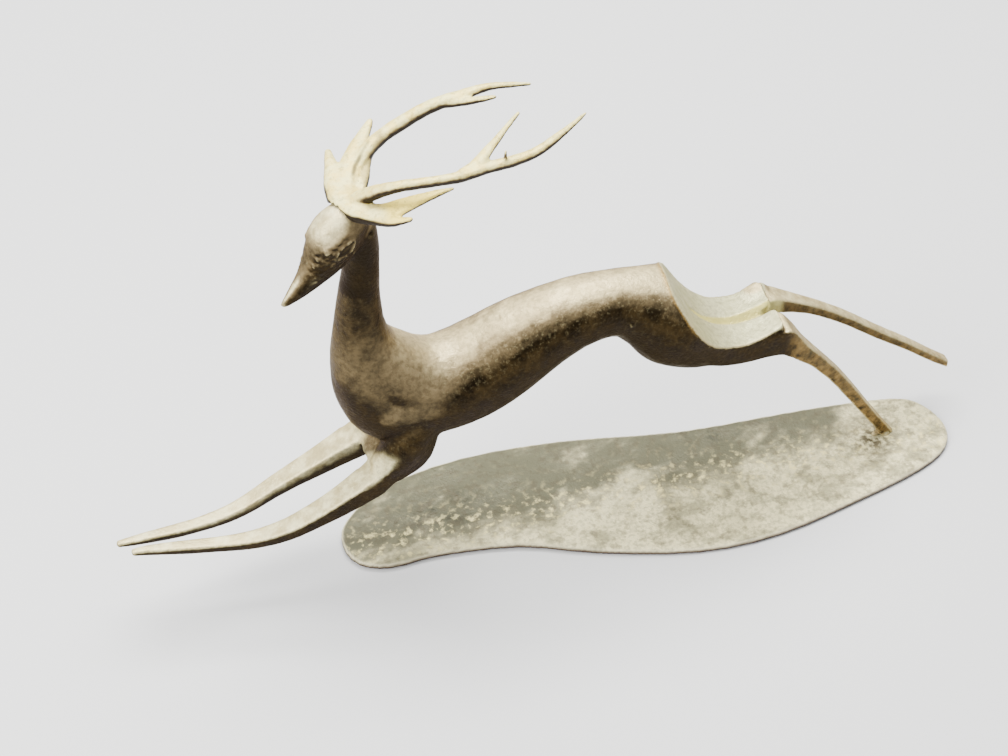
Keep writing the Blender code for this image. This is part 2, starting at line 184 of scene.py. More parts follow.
deerSettings = {
    "voxel": 0.31,
    "keptFaces": 0.44,
    "unevenness": 0.05,
    # planes where the smooth skin ends and the squared legs begin
    "hindCut": 31.2,
    "foreCut": (-79.0, 0, 40.5),
    "foreCutFacing": (-0.5, 0, -0.87),
    "soleHeight": 2.03,
    "foreBevel": 0.75,
    "nearHindBevel": 0.4,
    "farHindBevel": 0.35,
    "farForeReach": 3.0,
    # one fore leg: x, spread, z, half height, half width, across the limb
    "foreLeg": [
        (-70.5, 6.3, 42.2, 3.0, 4.4), (-72.8, 6.6, 40.7, 3.0, 4.5), (-76.2, 7.0, 38.5, 3.05, 4.25),
        (-82.2, 7.4, 35.1, 2.7, 3.55), (-88.2, 7.6, 31.9, 2.35, 3.1), (-94.2, 7.6, 29.1, 1.95, 2.8),
        (-100.2, 7.2, 26.5, 1.75, 2.55), (-106.2, 6.1, 24.4, 1.6, 2.3), (-112.2, 4.9, 23.4, 1.45, 2.0),
        (-118.2, 3.9, 23.5, 1.3, 1.8), (-124.2, 3.1, 24.1, 1.2, 1.7), (-130.2, 2.5, 25.0, 1.1, 1.5),
        (-135.8, 2.0, 25.8, 0.9, 1.15), (-139.0, 1.9, 26.1, 0.7, 0.9),
    ],
    # hind legs: x, y, z, half height, half width, across the limb
    "nearHindLeg": [
        (26.0, -5.1, 51.6, 3.2, 4.3), (29.5, -5.3, 51.9, 3.9, 4.2), (32.0, -5.6, 51.6, 4.1, 3.9),
        (34.8, -6.0, 49.2, 3.2, 3.1), (37.8, -6.4, 45.7, 2.35, 2.5), (42.4, -6.8, 40.4, 1.95, 1.85),
        (48.5, -6.6, 32.3, 1.8, 1.65), (54.7, -6.2, 22.8, 1.7, 1.6), (61.6, -5.8, 11.8, 1.5, 1.5),
        (67.8, -5.5, 2.3, 1.4, 1.4), (70.5, -5.4, -2.0, 1.4, 1.4),
    ],
    "farHindLeg": [
        (27.0, 5.2, 51.4, 3.0, 3.4), (30.5, 5.4, 53.0, 3.0, 3.4), (33.5, 5.6, 52.8, 2.6, 3.0),
        (37.0, 5.9, 51.3, 2.05, 2.5), (41.5, 6.0, 48.9, 1.7, 2.1), (47.6, 5.9, 45.4, 1.45, 1.85),
        (56.8, 5.4, 38.9, 1.35, 1.75), (65.9, 4.8, 31.6, 1.3, 1.7), (75.2, 4.2, 24.6, 1.25, 1.6),
        (83.8, 3.7, 17.5, 1.15, 1.5), (89.0, 3.6, 13.4, 1.1, 1.4),
    ],
    # solder at the standing hoof: x, y, z, half width, half height
    "solder": [(67.3, -5.5, 2.2, 2.5, 0.9), (64.4, -6.0, 2.2, 1.0, 0.55)],
    # the elbow under the root of each fore leg, and how far other marks stand out
    "elbow": (-70.5, 37.5),
    "elbowRadius": 4.5,
    "elbowRise": 1.3,
    "cornerRise": 1.1,
    "rimLip": 0.28,
    "chip": [(-11.6, -8.6, 72.6), (-11.0, -8.6, 71.2)],
    "chipRise": 0.3,
}


def drawLimb(name, rows, bevel, steps=3):
    # a squared limb: a face across X, extruded from station to station
    run = throughRows(rows, steps)
    start = Vector(run[0][:3]) * mm
    bpy.ops.object.select_all(action='DESELECT')
    bpy.ops.mesh.primitive_plane_add(size=2 * mm, location=start, rotation=(0, math.pi / 2, 0))
    limb = bpy.context.active_object
    limb.name = name
    bpy.ops.object.transform_apply(location=True, rotation=True, scale=True)
    startEditing(limb)
    sizeNow = (1.0, 1.0)
    last = len(run) - 1
    for i, row in enumerate(run):
        along = run[min(i + 1, last)][:3] - run[max(i - 1, 0)][:3]
        lean = abs(along[0]) / math.hypot(along[0], along[2])
        if i:
            step = (row[:3] - run[i - 1][:3]) * mm
            bpy.ops.mesh.extrude_region_move(TRANSFORM_OT_translate={"value": tuple(step)})
        size = (row[3] / lean, row[4])
        grow = (1, size[1] / sizeNow[1], size[0] / sizeNow[0])
        bpy.ops.transform.resize(value=grow, center_override=tuple(row[:3] * mm))
        sizeNow = size
    bpy.ops.mesh.select_all(action='SELECT')
    bpy.ops.mesh.normals_make_consistent(inside=False)
    stopEditing()
    sharp = math.radians(40)
    useModifier(limb, 'BEVEL', width=bevel * mm, segments=3, limit_method='ANGLE', angle_limit=sharp)
    return limb


def cutAway(item, place, facing):
    # what lies beyond the plane goes, and the cut is closed
    startEditing(item)
    at = tuple(Vector(place) * mm)
    bpy.ops.mesh.bisect(plane_co=at, plane_no=facing, use_fill=True, clear_outer=True)
    stopEditing()


def drawLegs():
    s = deerSettings
    legs = []
    last = len(s["foreLeg"]) - 1
    for name, flank, reach in (("nearForeLeg", -1, 0.0), ("farForeLeg", 1, s["farForeReach"])):
        rows = []
        for i, (x, spread, z, tall, wide) in enumerate(s["foreLeg"]):
            rows.append((x - reach * (i / last) ** 2, flank * spread, z, tall, wide))
        legs.append(drawLimb(name, rows, s["foreBevel"]))
    legs.append(drawLimb("nearHindLeg", s["nearHindLeg"], s["nearHindBevel"]))
    legs.append(drawLimb("farHindLeg", s["farHindLeg"], s["farHindBevel"]))
    return legs


def drawSolder():
    # a flat blob of solder round the standing hoof, with a small one beside it
    blobs = []
    for x, y, z, wide, tall in deerSettings["solder"]:
        at = (x * mm, y * mm, z * mm)
        bpy.ops.object.select_all(action='DESELECT')
        bpy.ops.mesh.primitive_uv_sphere_add(segments=24, ring_count=12, radius=1 * mm, location=at)
        drop = bpy.context.active_object
        drop.scale = (wide, wide * 0.8, tall)
        bpy.ops.object.transform_apply(location=True, rotation=True, scale=True)
        blobs.append(drop)
    return blobs


deerBody = pickUp("deer", "deerBody")
cutAway(deerBody, (deerSettings["hindCut"], 0, 0), (1, 0, 0))
cutAway(deerBody, deerSettings["foreCut"], deerSettings["foreCutFacing"])
selectOnly(deerBody, *drawLegs(), *drawSolder())
bpy.ops.object.join()
cutAway(deerBody, (0, 0, deerSettings["soleHeight"]), (0, 0, -1))
useModifier(deerBody, 'REMESH', mode='VOXEL', voxel_size=deerSettings["voxel"] * mm)
print("deer remeshed,", len(deerBody.data.polygons), "faces")


# the head has its own axis: back from the nose tip, out to the near side, and up to the crown
headTurn = math.radians(20)
headNod = math.radians(33)
headSeat = np.array((-75.8, 0.0, 118.1))
headLength = 25.9
headAhead = np.array((
    -math.cos(headNod) * math.cos(headTurn),
    -math.cos(headNod) * math.sin(headTurn),
    -math.sin(headNod),
))
headSide = np.array((math.sin(headTurn), -math.cos(headTurn), 0.0))
headUp = np.cross(headAhead, headSide)
headUp = headUp if headUp[2] > 0 else -headUp

# places and half sizes as back and up from the head's axis
headSettings = {
    # z where the head's marks begin, in the object's frame
    "lowest": 98,
    "eye": (19.3, 2.5),
    "eyeHalf": (3.2, 1.35),
    "lid": 0.26,
    "socket": 0.26,
    "eyeball": 0.30,
    "brow": 0.28,
    "underEye": 0.22,
    "mouth": [(0.5, -1.0), (4.5, -1.2), (9.0, -1.3)],
    "mouthDepth": 0.24,
    "mouthWidth": 0.28,
    # back, up, radius and rise
    "nostril": (2.2, 0.5, 0.42, -0.28),
    "bump": (16.2, 5.3, 0.6, 0.35),
    "pits": 0.15,
    "pitSize": 1.5,
    # a hollow behind the eye, in the object's frame
    "hollow": (-73.4, -3.3, 115.9),
    "hollowDepth": 0.7,
}


def headPlace(places):
    away = places - headSeat
    return headLength - away @ headAhead, away @ headSide, away @ headUp


def fromHollow(places):
    return np.linalg.norm(places - np.array(headSettings["hollow"]), axis=1)


# the scoop's side profile on the spine, as x and z, and its lean for each millimetre across
scoopLine = [
    (-3.7, 94), (0.4, 80.5), (1.5, 75.5), (4, 70.5), (7.3, 64.6), (11.8, 59),
    (16.8, 55.9), (21.8, 55), (26.8, 55.8), (30.8, 57.3), (33.3, 58.4),
]
scoopLean = (0.10, 0.07)


def scoopDepth(places):
    # how far each place lies from the scoop's floor, seen along the cut
    x, y, z = places.T
    flat = np.stack([x - scoopLean[0] * y, np.zeros(len(x)), z + scoopLean[1] * y], axis=1)
    return nearLine(flat, [(px, 0, pz) for px, pz in throughRows(scoopLine, 3)])


def softenSkin(item):
    # smooths the facets away, and keeps the cut rim and the squared legs crisp
    crisp, firm, soft = 0.1, 0.35, 1.0
    places, normals = readMesh(item)
    x, _, z = places.T
    blendIn = fadeIn(x, 26.5, 28.5) * fadeOut(x, 35.0, 37.5) * fadeOut(normals[:, 2], 0.2, 0.45)
    keep = np.maximum(fadeOut(scoopDepth(places), 0.8, 1.6), fadeIn(x, 30.0, 32.5)) * (1 - blendIn)
    fore = fadeOut(x, -84, -78) * fadeOut(z, 38, 42)
    levels = np.where(keep >= 0.5, crisp, np.where(fore > 0.5, firm, soft))
    group = item.vertex_groups.new(name="soften")
    for level in (crisp, firm, soft):
        group.add(np.nonzero(levels == level)[0].tolist(), level, 'REPLACE')
    useModifier(item, 'SMOOTH', factor=0.5, iterations=16, vertex_group="soften")
    # the seams where the legs leave the body are smoothed further
    away = (places - np.array(deerSettings["foreCut"])) @ np.array(deerSettings["foreCutFacing"])
    seam = (np.abs(away) < 2.6) & (z < 45) & (x < -66)
    seam |= (x > 27.5) & (x < 35) & (z < 55) & (normals[:, 2] < 0.5)
    group = item.vertex_groups.new(name="seam")
    group.add(np.nonzero(seam)[0].tolist(), 1.0, 'REPLACE')
    useModifier(item, 'SMOOTH', factor=0.5, iterations=40, vertex_group="seam")
    item.vertex_groups.clear()


def carveHead(places, normals):
    # lids, eyeball, brow, mouth and nostril are pressed or raised along the skin
    s = headSettings
    back, out, up = headPlace(places)
    flank = fadeIn(np.abs(out), 0.6, 2.2) * (places[:, 2] > s["lowest"]) * fadeOut(back, 25, 27)
    # along and across the eye, both 1 at its lids
    u = (back - s["eye"][0]) / s["eyeHalf"][0]
    v = (up - s["eye"][1]) / s["eyeHalf"][1]
    edge = np.abs(v) - np.clip(1 - u * u, 0, 1)
    slit = fadeIn(1.12 - np.abs(u), 0.0, 0.2) * flank
    inside = fadeOut(edge, -0.5, -0.15) * slit
    ball = np.sqrt(np.clip(1 - (u / 0.62) ** 2 - (v / 0.75) ** 2, 0, 1)) * flank
    lift = s["lid"] * blob((edge, 0.22)) * slit
    lift -= s["socket"] * inside
    lift += s["eyeball"] * ball
    lift += s["brow"] * blob((v - 2.3, 0.7)) * fadeIn(1.3 - np.abs(u), 0, 0.6) * flank
    lift -= s["underEye"] * blob((v + 2.0, 0.8)) * fadeIn(1.2 - np.abs(u), 0, 0.6) * flank
    flat = np.stack([back, np.zeros(len(back)), up], axis=1)
    mouth = nearLine(flat, [(b, 0, h) for b, h in s["mouth"]])
    lift -= s["mouthDepth"] * blob((mouth, s["mouthWidth"])) * flank
    for b, h, radius, rise in (s["nostril"], s["bump"]):
        lift += rise * blob((back - b, radius), (up - h, radius)) * flank
    # the cheek is pitted between the mouth and the eye
    rough = fadeIn(back, 7, 11) * fadeOut(back, 20, 23) * fadeIn(4.2 - np.abs(up - 2.2), 0, 1.5) * flank
    lift += s["pits"] * wavyField(places, s["pitSize"], 21, 2) * rough * (1 - inside)
    lift -= s["hollowDepth"] * fadeOut(fromHollow(places), 0.35, 0.85)
    return places + normals * lift[:, None]


def carveBody(item):
    s = deerSettings
    places, normals = readMesh(item)
    places += normals * (wavyField(places, 9, 3) * s["unevenness"])[:, None]
    places = carveHead(places, normals)
    # x, y and z follow each change to the places
    x, y, z = places.T
    elbow = blob((x - s["elbow"][0], s["elbowRadius"]), (z - s["elbow"][1], s["elbowRadius"]))
    elbow *= fadeOut(normals[:, 2], -0.5, 0.25) * fadeIn(np.abs(y), 2, 5)
    z += s["elbowRise"] * elbow
    # the scoop's far hind corner
    corner = fadeIn(x, 24, 30.5) * fadeOut(x, 31.5, 34) * fadeIn(y, 3.5, 8.5) * fadeIn(z, 52, 55)
    z += s["cornerRise"] * corner
    rim = fadeOut(scoopDepth(places), 0.2, 1.3) * fadeIn(z, 68, 72)
    places += normals * (rim * s["rimLip"] * fadeIn(0.35 - normals[:, 0], 0, 0.3))[:, None]
    chip = nearLine(places, s["chip"])
    places += normals * (s["chipRise"] * fadeOut(chip, 0.2, 0.7))[:, None]
    writeMesh(item, places)


softenSkin(deerBody)
carveBody(deerBody)
useModifier(deerBody, 'DECIMATE', ratio=deerSettings["keptFaces"])
print("deer carved,", len(deerBody.data.polygons), "faces")


def addNode(tree, kind, **values):
    node = tree.nodes.new(kind)
    for key, value in values.items():
        if hasattr(node, key):
            setattr(node, key, value)
        else:
            node.inputs[key.replace("_", " ")].default_value = value
    return node


def feed(tree, source, socket):
    if hasattr(source, "is_output"):
        tree.links.new(source, socket)
    elif isinstance(source, tuple):
        socket.default_value = (*source, 1) if len(source) == 3 else source
    else:
        socket.default_value = source


def calc(tree, operation, a, b):
    node = addNode(tree, "ShaderNodeMath", operation=operation, use_clamp=operation != 'SUBTRACT')
    feed(tree, a, node.inputs[0])
    feed(tree, b, node.inputs[1])
    return node.outputs[0]


def times(tree, *factors):
    product = factors[0]
    for factor in factors[1:]:
        product = calc(tree, 'MULTIPLY', product, factor)
    return product


def ramp(tree, source, low, high, toLow=0.0, toHigh=1.0):
    node = addNode(tree, "ShaderNodeMapRange", interpolation_type='SMOOTHSTEP')
    feed(tree, source, node.inputs["Value"])
    limits = (("From Min", low), ("From Max", high), ("To Min", toLow), ("To Max", toHigh))
    for name, value in limits:
        node.inputs[name].default_value = value
    return node.outputs["Result"]


def blendColour(tree, share, under, over):
    node = addNode(tree, "ShaderNodeMix", data_type='RGBA')
    feed(tree, share, node.inputs[0])
    feed(tree, under, node.inputs[6])
    feed(tree, over, node.inputs[7])
    return node.outputs[2]


def noise(tree, size, low=0.35, high=0.65, detail=4.0, stretch=(1, 1, 1)):
    # a cloud whose patches are about a size in millimetres wide
    place = addNode(tree, "ShaderNodeTexCoord").outputs["Object"]
    turn = addNode(tree, "ShaderNodeMapping")
    turn.inputs["Scale"].default_value = stretch
    tree.links.new(place, turn.inputs["Vector"])
    cloud = addNode(tree, "ShaderNodeTexNoise", Scale=1000 / size, Detail=detail, Roughness=0.6)
    tree.links.new(turn.outputs["Vector"], cloud.inputs["Vector"])
    return ramp(tree, cloud.outputs[0], low, high)


def mask(tree, name):
    return addNode(tree, "ShaderNodeAttribute", attribute_name=name).outputs["Fac"]


def facingUp(tree):
    normal = addNode(tree, "ShaderNodeNewGeometry").outputs["Normal"]
    split = addNode(tree, "ShaderNodeSeparateXYZ")
    tree.links.new(normal, split.inputs[0])
    return split.outputs["Z"]


def newMaterial(name):
    material = bpy.data.materials.new(name)
    material.use_nodes = True
    tree = material.node_tree
    shader = tree.nodes["Principled BSDF"]
    return material, tree, shader


def addGrain(tree, shader, size, depth, pitSize, pitDepth):
    # two sizes of cast grain as bump
    grain = noise(tree, size, 0.3, 0.7, detail=6.0)
    pits = noise(tree, pitSize, 0.28, 0.42, detail=2.0)
    first = addNode(tree, "ShaderNodeBump", Strength=1.0, Distance=depth * mm)
    tree.links.new(grain, first.inputs["Height"])
    second = addNode(tree, "ShaderNodeBump", Strength=1.0, Distance=pitDepth * mm)
    tree.links.new(pits, second.inputs["Height"])
    tree.links.new(first.outputs["Normal"], second.inputs["Normal"])
    tree.links.new(second.outputs["Normal"], shader.inputs["Normal"])


def finishShader(tree, shader, settings, colour, cloud):
    # the roughness follows a cloud of the metal's own mottle
    tree.links.new(colour, shader.inputs["Base Color"])
    shader.inputs["Metallic"].default_value = settings["metallic"]
    shader.inputs["Specular IOR Level"].default_value = settings["specular"]
    smooth, rough = settings["roughness"]
    tree.links.new(ramp(tree, cloud, 0.0, 1.0, smooth, rough), shader.inputs["Roughness"])
    addGrain(tree, shader, *settings["grain"])


bronzeSettings = {
    # tones from the painted shade under the body to the painted highlight on top: shade, side, top, then
    # dust, which is pale dust as well as painted highlight
    "shade": (0.007, 0.004, 0.0012),
    "side": (0.044, 0.028, 0.010),
    "top": (0.36, 0.27, 0.14),
    "dust": (0.92, 0.76, 0.40),
    "wear": (0.76, 0.64, 0.34),
    "verdigris": (0.40, 0.39, 0.20),
    "verdigrisPale": (0.80, 0.76, 0.45),
    "rust": (0.36, 0.23, 0.08),
    "rubbedAndLit": (0.66, 0.56, 0.28),
    "rubbedPale": (0.92, 0.85, 0.50),
    "gold": (0.36, 0.22, 0.06),
    "goldPale": (0.98, 0.88, 0.30),
    "sheen": (0.62, 0.48, 0.30),
    "metallic": 0.45,
    "specular": 0.22,
    "roughness": (0.40, 0.56),
    # size and depth of the fine grain, then of the pits
    "grain": (0.7, 0.05, 1.6, 0.05),
    # how far a side under dust and painted highlight counts as facing up
    "dustAndLightLift": 0.55,
}


def makeBodyBronze():
    s = bronzeSettings
    material, tree, shader = newMaterial("patinatedBronze")
    up = facingUp(tree)
    patches = noise(tree, 14, 0.35, 0.65)
    specks = noise(tree, 1.3, 0.42, 0.62)
    mottle = noise(tree, 4.5, 0.35, 0.65)
    side = blendColour(tree, mottle, s["shade"], s["side"])
    # painted shade: the undersides are darkest and the sides dark
    colour = blendColour(tree, ramp(tree, up, -0.45, 0.35), s["shade"], side)
    # where dust lies, and where light is painted on, the sides take the painted highlight of the tops
    steep = calc(tree, 'SUBTRACT', s["dustAndLightLift"], times(tree, up, s["dustAndLightLift"]))
    lift = times(tree, steep, times(tree, mask(tree, "dustyAndLit"), ramp(tree, up, -0.3, 0.1)))
    tilt = calc(tree, 'ADD', calc(tree, 'ADD', up, times(tree, mottle, 0.06)), lift)
    # painted highlight: what faces up turns to the top tone, then to pale dust in patches
    colour = blendColour(tree, ramp(tree, tilt, 0.47, 0.98), colour, s["top"])
    dustyAndLit = times(tree, ramp(tree, tilt, 0.76, 1.0), ramp(tree, patches, 0.0, 1.0, 0.6, 1.0))
    colour = blendColour(tree, dustyAndLit, colour, s["dust"])
    # dark specks on all of it, and pale crumbs on what faces up
    dark = times(tree, specks, ramp(tree, tilt, 0.4, 1.0, 0.42, 0.24))
    colour = blendColour(tree, dark, colour, s["shade"])
    crumbs = times(tree, noise(tree, 0.8, 0.50, 0.74), ramp(tree, up, 0.2, 0.9, 0.03, 0.32))
    colour = blendColour(tree, crumbs, colour, s["wear"])
    # the scoop's verdigris, palest where it lies flat as a painted highlight
    flat = times(tree, ramp(tree, up, 0.35, 0.9), ramp(tree, patches, 0.0, 1.0, 0.7, 1.0))
    green = blendColour(tree, flat, s["verdigris"], s["verdigrisPale"])
    green = blendColour(tree, times(tree, specks, 0.25), green, s["side"])
    green = blendColour(tree, times(tree, mottle, 0.35), green, s["verdigris"])
    colour = blendColour(tree, mask(tree, "verdigris"), colour, green)
    # rubbed metal on the legs, palest where it faces up as a painted highlight, and painted highlights on
    # the head
    pale = times(tree, mask(tree, "rubbedAndLit"), ramp(tree, tilt, 0.08, 0.80))
    pale = times(tree, pale, ramp(tree, specks, 0.0, 1.0, 1.0, 0.7))
    colour = blendColour(tree, pale, colour, blendColour(tree, mottle, s["rubbedAndLit"], s["rubbedPale"]))
    rusty = times(tree, mask(tree, "rust"), noise(tree, 2.0, 0.25, 0.75))
    colour = blendColour(tree, rusty, colour, s["rust"])
    worn = times(tree, mask(tree, "wear"), ramp(tree, mottle, 0.0, 1.0, 0.55, 1.0))
    colour = blendColour(tree, worn, colour, s["wear"])
    colour = blendColour(tree, mask(tree, "gold"), colour, s["gold"])
    colour = blendColour(tree, mask(tree, "bright"), colour, s["goldPale"])
    # dirt and painted shade in the creases, a darkened eye, and painted shade in the hollow, under the jaw
    # and low on the breast
    colour = blendColour(tree, mask(tree, "dirtAndShade"), colour, s["shade"])
    shader.inputs["Specular Tint"].default_value = (*s["sheen"], 1)
    finishShader(tree, shader, s, colour, mottle)
    return material


# where the deer's tones lie in millimetres, and the share of each at its strongest
deerMarks = {
    "gold": 0.85,
    "crotchGlow": 0.4,
    # crest and brow are painted highlights on the head
    "crest": 0.9,
    "brow": 0.85,
    "nick": 0.9,
    "nickPlace": (9.6, -0.5),
    # fore legs: top of the rubbed metal at the spine, its slope outwards, and the far leg's loss
    "rootTop": 40.5,
    "rootSlope": 0.93,
    "farRubLoss": 0.22,
    "hindRub": 0.65,
    # dust and painted highlight
    "neckDustAndLightLoss": 0.22,
    "farLegDustAndLight": 0.7,
    "haunchDustAndLight": 0.25,
    "hindDustAndLight": 0.3,
    # dirt and painted shade
    "headDirtAndShade": 0.6,
    "bodyDirtAndShade": 0.75,
    "eyeDark": 0.6,
    "eyeRadii": (2.3, 1.0),
    "jawShadow": 0.75,
    "breastShadow": 0.75,
    "breast": (-76, -5, 50.5),
    "breastRadii": (3.5, 6.5, 7),
    "rimWear": 0.8,
}


def dressScoop(item, places, normals, bend):
    # the cut of the scoop, its rim, and the far wall of its groove
    x, y, z = places.T
    depth = scoopDepth(places)
    sunk = fadeIn(x, 2, 8) * fadeOut(np.abs(y), 2.0, 2.4) * fadeOut(depth, 2.6, 3.2)
    facing = fadeIn(normals[:, 0] * 0.6 + normals[:, 2], 0.35, 0.6) * fadeOut(x, 32.8, 34.5)
    cut = np.maximum(fadeOut(depth, 0.3, 0.6), sunk) * facing
    rim = fadeOut(depth, 0.5, 1.0) * fadeIn(bend, 0.12, 0.35) * fadeOut(x, 24, 30)
    # gold rings the rim, in a band that widens to the top
    band = 1.1 + 1.3 * fadeIn(z, 73, 79)
    gold = fadeOut(depth, 0.4, band) * (1 - cut) * fadeIn(z, 64, 70) * deerMarks["gold"]
    wall = sunk * fadeOut(normals[:, 1], -0.6, -0.25)
    # the crotch between the hind legs is pale with dirt as well
    crotch = fadeIn(x, 28, 30) * fadeOut(x, 34, 37) * fadeIn(z, 48, 51)
    crotch *= fadeOut(normals[:, 1], -0.6, -0.2) * fadeIn(y, -1.0, 0.5)
    keepMask(item, "verdigris", np.maximum(cut, crotch))
    keepMask(item, "gold", gold)
    keepMask(item, "bright", np.maximum(wall, deerMarks["crotchGlow"] * crotch))
    return cut, rim, gold


def dressBody(item):
    marks = deerMarks
    places, normals = readMesh(item)
    bend = edgeBend(item, places, normals)
    x, y, z = places.T
    cut, rim, gold = dressScoop(item, places, normals, bend)
    # the head: a painted highlight on the crest down the muzzle and on the forehead, and a bright nick at
    # the mouth's corner
    back, out, up = headPlace(places)
    lowest = headSettings["lowest"]
    onHead = (z > lowest) & (back > -1) & (back < 28)
    nape = np.maximum(fadeIn(z, lowest, 109), fadeOut(back, 14, 18))
    crest = fadeIn(normals @ headUp, 0.90, 0.985) * fadeOut(back, 11, 15)
    brow = fadeIn(up, 5.5, 8.5) * fadeIn(back, 14, 19)
    nick = blob((back - marks["nickPlace"][0], 1.05), (up - marks["nickPlace"][1], 1.05))
    shine = [marks["crest"] * crest, marks["brow"] * brow, marks["nick"] * nick]
    pale = onHead * np.maximum.reduce(shine)
    # fore legs are rubbed pale up to the chest, and hind legs along their tops
    rootTop = marks["rootTop"] + marks["rootSlope"] * np.clip(np.abs(y) - 1, 0, 7.5)
    fore = fadeOut(x, -70, -66) * fadeIn(rootTop - z, -1.5, 1.5)
    hind = fadeIn(x, 31, 36) * (1 - cut)
    farHalf = fadeIn(y, 1, 2.5)
    foreRub = fore * (1 - marks["farRubLoss"] * farHalf)
    keepMask(item, "rubbedAndLit", np.maximum.reduce([foreRub, pale, marks["hindRub"] * hind]))
    # dust greys, and painted highlight pales, the chest, the neck, the head and the haunch, and parts of
    # the legs
    root = fore * fadeOut(normals[:, 0], -0.6, -0.25) * fadeIn(z, 36, 41)
    chest = fadeOut(x, -64, -50) * fadeIn(z, 48, 60) * (1 - marks["neckDustAndLightLoss"] * fadeIn(z, 74, 92))
    chest *= 1 - onHead * nape
    skull = onHead * (0.45 + 0.12 * fadeIn(back, 6, 9) + 0.4 * fadeIn(back, 11, 17)) * nape
    stations = [deerSettings["foreLeg"][i] for i in (0, 3, 5, 7, 9, 13)]
    middle = np.interp(-x, [-row[0] for row in stations], [row[2] for row in stations])
    farSide = marks["farLegDustAndLight"] * fore * farHalf * fadeIn(z - middle, -1.2, 1.2)
    haunch = marks["haunchDustAndLight"] * fadeIn(x, -4, 6) * fadeOut(x, 30, 34)
    layers = [root, chest, skull, farSide, haunch, marks["hindDustAndLight"] * hind]
    keepMask(item, "dustyAndLit", np.maximum.reduce(layers))
    # rust is strongest on the near hind leg, towards its hoof
    keepMask(item, "rust", hind * (0.4 + 0.25 * fadeOut(y, -2, 0) + 0.35 * fadeOut(z, 8, 34)))
    # dirt and painted shade lie in creases; the eye is darkened, painted shade fills the hollow behind it,
    # and painted shadow lies under the jaw and low on the breast
    eyeBack, eyeUp = headSettings["eye"]
    wideEye, tallEye = marks["eyeRadii"]
    eye = ((up - eyeUp) / tallEye) ** 2 + ((back - eyeBack) / wideEye) ** 2
    eyeball = fadeOut(eye, 0.7, 1.0) * onHead * fadeIn(np.abs(out), 2.5, 3.5)
    hollow = fadeOut(fromHollow(places), 0.5, 0.8)
    onFace = fadeOut(bend, -0.50, -0.10) * marks["headDirtAndShade"]
    dirtAndShade = np.where(onHead, onFace, fadeOut(bend, -0.7, -0.22) * marks["bodyDirtAndShade"])
    jaw = onHead * nape * fadeOut(up, -2.0, -0.9) * fadeIn(back, 1, 3) * marks["jawShadow"]
    away = (places - np.array(marks["breast"])) / np.array(marks["breastRadii"])
    breast = marks["breastShadow"] * blob((np.linalg.norm(away, axis=1), 1)) * (1 - fore)
    keepMask(item, "dirtAndShade", np.maximum.reduce([dirtAndShade, eyeball * marks["eyeDark"], hollow, jaw, breast]))
    # edges are worn pale, above all on the hind legs
    wear = fadeIn(bend, 0.22, 0.6) * (0.35 + 0.65 * hind + 0.3 * onHead)
    keepMask(item, "wear", np.maximum(wear, marks["rimWear"] * rim) * (1 - gold))


dressBody(deerBody)
coat(deerBody, makeBodyBronze())
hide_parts("deer")
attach(deerBody, "root")
print("deer dressed")


antlerSettings = {
    "voxel": 0.27,
    "unevenness": 0.05,
    "pale": (0.98, 0.88, 0.38),
    "yellow": (0.93, 0.74, 0.22),
    "ochre": (1.0, 0.78, 0.16),
    "tan": (0.60, 0.49, 0.18),
    # flank and under: painted shade on the sides and undersides
    "flank": (0.22, 0.16, 0.075),
    "under": (0.016, 0.009, 0.003),
    "metallic": 0.25,
    "specular": 0.22,
    "roughness": (0.42, 0.55),
    "grain": (0.6, 0.04, 1.3, 0.04),
    # the crease between the flange and the far beam, and the flange's near edge as z and x
    "crease": [
        (-75.9, 3.0, 124.4), (-74.6, 6.0, 125.6), (-73.4, 8.5, 126.4),
        (-71.2, 11.0, 126.9), (-68.8, 13.0, 128.2),
    ],
    "flangeEdge": [(120, -76.5), (124.8, -76), (127.7, -70.5), (130.8, -66.5)],
    # the share of painted shade along the crease
    "creaseShade": 0.8,
}


def makeAntlerBronze():
    s = antlerSettings
    material, tree, shader = newMaterial("rubbedBronze")
    mottle = noise(tree, 3.0, 0.35, 0.65)
    tilt = calc(tree, 'ADD', facingUp(tree), times(tree, mottle, 0.12))
    colour = blendColour(tree, mottle, s["yellow"], s["pale"])
    colour = blendColour(tree, mask(tree, "wedge"), colour, s["ochre"])
    colour = blendColour(tree, mask(tree, "flange"), colour, s["tan"])
    # painted shade: the sides darker and the undersides dark, by how far they face up
    colour = blendColour(tree, ramp(tree, tilt, 0.30, 0.66), s["flank"], colour)
    colour = blendColour(tree, ramp(tree, tilt, 0.13, 0.43), s["under"], colour)
    colour = blendColour(tree, times(tree, noise(tree, 1.1, 0.5, 0.68), 0.30), colour, s["under"])
    # painted shade in the creases and under the crown
    colour = blendColour(tree, mask(tree, "dirtAndShade"), colour, s["under"])
    finishShader(tree, shader, s, colour, mottle)
    return material


